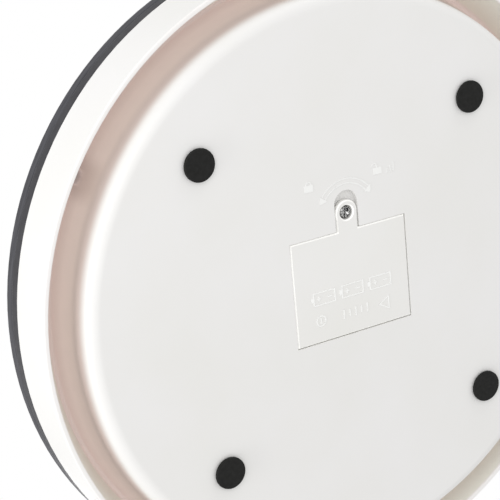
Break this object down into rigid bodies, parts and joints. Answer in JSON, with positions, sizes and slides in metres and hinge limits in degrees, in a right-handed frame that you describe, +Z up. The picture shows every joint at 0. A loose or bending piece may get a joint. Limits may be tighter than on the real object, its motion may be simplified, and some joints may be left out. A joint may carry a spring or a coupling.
{
  "type": "digital bathroom scale",
  "caption": "Round electronic bathroom scale with a dark glass platform, a white moulded base pan, small rubber feet on load cells and a screwed battery door.",
  "frame": {"origin": "centre of the scale on the floor, under the feet", "axes": "+Z up through the platform, +Y towards the display, +X to the right of someone who stands on it facing the display"},
  "size_m": [0.3, 0.3, 0.048],
  "materials": {
    "base_white": "fine satin moulding texture",
    "frame_grey": "satin dark grey plastic",
    "glass_dark": "polished, back-printed dark glass",
    "film_black": "gloss black film",
    "tape_black": "foam tape",
    "lcd": "display glass",
    "diffuser": "frosted white",
    "holder_white": "natural white",
    "ribbon_amber": "flexible printed circuit",
    "pcb_green": "solder mask",
    "chip_black": "epoxy",
    "capacitor_blue": "sleeve",
    "socket_cream": "nylon",
    "screw_steel": "zinc plated",
    "cell_steel": "nickel plated spring steel",
    "gauge_white": "silicone potting",
    "cover_grey": "natural",
    "damper_grey": "firm rubber",
    "plug_black": "satin black",
    "foot_rubber": "matt black rubber",
    "lead_red": "insulation",
    "lead_black": "insulation",
    "contact_nickel": "nickel plated spring strip",
    "cell_label": "printed sleeve",
    "foam_grey": "closed-cell foam",
    "brass": "machined"
  },
  "bodies": {
    "base": {"base_pan": "base_white", "platform_frame": "frame_grey", "platform_glass": "glass_dark", "safety_film": "film_black", "glass_tape": "tape_black", "display_panel": "lcd", "display_backlight": "diffuser", "display_holder": "holder_white", "display_ribbon": "ribbon_amber", "main_pcb": "pcb_green", "main_chip": "chip_black", "capacitor": "capacitor_blue", "lead_socket": "socket_cream", "pcb_screws": "screw_steel", "load_cell_1": "cell_steel", "load_cell_2": "cell_steel", "load_cell_3": "cell_steel", "load_cell_4": "cell_steel", "gauge_cover_1": "gauge_white", "gauge_cover_2": "gauge_white", "gauge_cover_3": "gauge_white", "gauge_cover_4": "gauge_white", "cell_cover_1": "cover_grey", "cell_cover_2": "cover_grey", "cell_cover_3": "cover_grey", "cell_cover_4": "cover_grey", "cover_screws": "screw_steel", "foot_damper_1": "damper_grey", "foot_damper_2": "damper_grey", "foot_damper_3": "damper_grey", "foot_damper_4": "damper_grey", "cell_lead_1": "lead_red", "cell_lead_2": "lead_red", "cell_lead_3": "lead_red", "cell_lead_4": "lead_red", "battery_lead_red": "lead_red", "battery_lead_black": "lead_black", "contact_positive": "contact_nickel", "contact_negative": "contact_nickel", "contact_bridge_left": "contact_nickel", "contact_bridge_right": "contact_nickel", "battery_1": "cell_label", "battery_2": "cell_label", "battery_3": "cell_label", "screw_insert": "brass", "housing_screws": "screw_steel"},
    "battery_door": {"battery_door": "base_white", "door_foam": "foam_grey"},
    "door_screw": {"door_screw": "screw_steel"},
    "foot_1": {"foot_plug_1": "plug_black", "foot_pad_1": "foot_rubber"},
    "foot_2": {"foot_plug_2": "plug_black", "foot_pad_2": "foot_rubber"},
    "foot_3": {"foot_plug_3": "plug_black", "foot_pad_3": "foot_rubber"},
    "foot_4": {"foot_plug_4": "plug_black", "foot_pad_4": "foot_rubber"}
  },
  "joints": [
    {"name": "door_open", "type": "hinge", "parent": "base", "child": "battery_door", "pos_m": [-0.001, -0.02505, 0.002], "axis": [-1, 0, 0], "range_deg": [0, 80]},
    {"name": "screw_turn", "type": "hinge", "parent": "battery_door", "child": "door_screw", "pos_m": [-0.001, 0.03295, 0.004], "axis": [0, 0, 1], "continuous": true},
    {"name": "foot_press_1", "type": "slide", "parent": "base", "child": "foot_1", "axis": [0, 0, 1], "range_m": [0, 0.0004], "stiffness_N_per_m": 8000, "springref_m": -0.0006, "deforming": ["foot_damper_1"]},
    {"name": "foot_press_2", "type": "slide", "parent": "base", "child": "foot_2", "axis": [0, 0, 1], "range_m": [0, 0.0004], "stiffness_N_per_m": 8000, "springref_m": -0.0006, "deforming": ["foot_damper_2"]},
    {"name": "foot_press_3", "type": "slide", "parent": "base", "child": "foot_3", "axis": [0, 0, 1], "range_m": [0, 0.0004], "stiffness_N_per_m": 8000, "springref_m": -0.0006, "deforming": ["foot_damper_3"]},
    {"name": "foot_press_4", "type": "slide", "parent": "base", "child": "foot_4", "axis": [0, 0, 1], "range_m": [0, 0.0004], "stiffness_N_per_m": 8000, "springref_m": -0.0006, "deforming": ["foot_damper_4"]}
  ]
}
